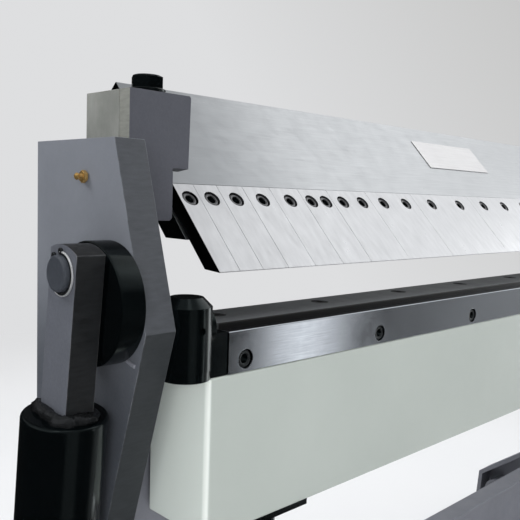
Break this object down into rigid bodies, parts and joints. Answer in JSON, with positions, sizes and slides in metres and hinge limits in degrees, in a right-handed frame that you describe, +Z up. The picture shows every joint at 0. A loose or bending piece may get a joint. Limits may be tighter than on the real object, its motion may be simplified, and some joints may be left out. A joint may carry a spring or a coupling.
{
  "type": "sheet metal brake",
  "caption": "Pedal-clamped box-and-pan folding brake: fingered upper beam, bed, and a bending beam on end hinges, swung up by two handles between welded stands.",
  "frame": {"origin": "floor level, at the middle of the machine's footprint", "axes": "+X along the bend line to the operator's right, +Y to the back of the machine, +Z up"},
  "size_m": [1.598, 0.721, 1.1265],
  "materials": {
    "grey_paint": "blue-grey satin machine paint over slightly uneven plate",
    "dark_paint": "dark grey satin paint",
    "panel_paint": "pale grey-green semi-gloss paint",
    "black_gloss": "near-black gloss enamel",
    "machined_steel": "milled and brushed along its length",
    "ground_steel": "bright ground",
    "raw_steel": "bare sawn steel, faintly greenish",
    "oiled_steel": "dark oiled steel",
    "brass": "plain turned brass",
    "spring_steel": "dark drawn wire",
    "rubber": "matt black",
    "plate_finish": "satin blank plate"
  },
  "bodies": {
    "frame": {"lower_beam": "grey_paint", "bed_rail": "oiled_steel", "cross_tie": "grey_paint", "left_side_plate": "grey_paint", "right_side_plate": "grey_paint", "left_crank_bush": "brass", "right_crank_bush": "brass", "left_grease_nipple": "brass", "right_grease_nipple": "brass", "left_hinge_plate": "oiled_steel", "right_hinge_plate": "oiled_steel", "left_stand": "grey_paint", "right_stand": "grey_paint"},
    "upper_beam": {"upper_beam": "machined_steel", "name_plate": "plate_finish", "finger_25": "ground_steel", "finger_30": "ground_steel", "finger_35": "ground_steel", "finger_40": "ground_steel", "finger_45": "ground_steel", "finger_50": "ground_steel", "finger_75": "ground_steel", "finger_100": "ground_steel", "finger_150": "ground_steel", "finger_200": "ground_steel", "finger_250": "ground_steel", "finger_270": "ground_steel", "left_end_block": "raw_steel", "right_end_block": "raw_steel", "left_end_plate": "dark_paint", "right_end_plate": "dark_paint", "left_jack_screw": "black_gloss", "right_jack_screw": "black_gloss", "left_lift_fork": "oiled_steel", "right_lift_fork": "oiled_steel"},
    "bending_beam": {"bending_box": "panel_paint", "bending_rail": "machined_steel", "left_hinge_housing": "black_gloss", "right_hinge_housing": "black_gloss", "left_handle": "black_gloss", "right_handle": "black_gloss", "left_handle_grip": "rubber", "right_handle_grip": "rubber"},
    "left_crank": {"left_crank_disc": "black_gloss", "left_crank_pin": "oiled_steel", "left_lift_crank": "oiled_steel"},
    "left_pull_rod": {"left_pull_arm": "grey_paint", "left_spring_housing": "black_gloss", "left_clamp_spring": "spring_steel", "left_tie_rod": "oiled_steel"},
    "right_crank": {"right_crank_disc": "black_gloss", "right_crank_pin": "oiled_steel", "right_lift_crank": "oiled_steel"},
    "right_pull_rod": {"right_pull_arm": "grey_paint", "right_spring_housing": "black_gloss", "right_clamp_spring": "spring_steel", "right_tie_rod": "oiled_steel"},
    "pedal": {"pedal_frame": "dark_paint", "pedal_shaft": "oiled_steel", "pedal_tread": "rubber"}
  },
  "joints": [
    {"name": "beam_lift", "type": "slide", "parent": "frame", "child": "upper_beam", "axis": [0, 0, 1], "range_m": [-0.045, 0]},
    {"name": "bend_swing", "type": "hinge", "parent": "frame", "child": "bending_beam", "pos_m": [0, -0.0745, 0.9], "axis": [-1, 0, 0], "range_deg": [0, 135]},
    {"name": "left_crank_turn", "type": "hinge", "parent": "frame", "child": "left_crank", "pos_m": [-0.7375, -0.0415, 0.9227], "axis": [1, 0, 0], "range_deg": [0, 120.5]},
    {"name": "left_rod_swing", "type": "hinge", "parent": "left_crank", "child": "left_pull_rod", "pos_m": [-0.763, -0.0497, 0.95], "axis": [1, 0, 0], "range_deg": [-119, 0]},
    {"name": "right_crank_turn", "type": "hinge", "parent": "frame", "child": "right_crank", "pos_m": [0.7375, -0.0415, 0.9227], "axis": [1, 0, 0], "range_deg": [0, 120.5]},
    {"name": "right_rod_swing", "type": "hinge", "parent": "right_crank", "child": "right_pull_rod", "pos_m": [0.763, -0.0497, 0.95], "axis": [1, 0, 0], "range_deg": [-119, 0]},
    {"name": "pedal_press", "type": "hinge", "parent": "frame", "child": "pedal", "pos_m": [0, 0.2835, 0.26], "axis": [1, 0, 0], "range_deg": [0, 10.9]}
  ],
  "couplings": [
    {"joint": "left_crank_turn", "follows": "beam_lift", "rad_per_m": -46.542},
    {"joint": "left_rod_swing", "follows": "beam_lift", "rad_per_m": 46.037},
    {"joint": "right_crank_turn", "follows": "beam_lift", "rad_per_m": -46.542},
    {"joint": "right_rod_swing", "follows": "beam_lift", "rad_per_m": 46.037},
    {"joint": "pedal_press", "follows": "beam_lift", "rad_per_m": -4.2103}
  ]
}
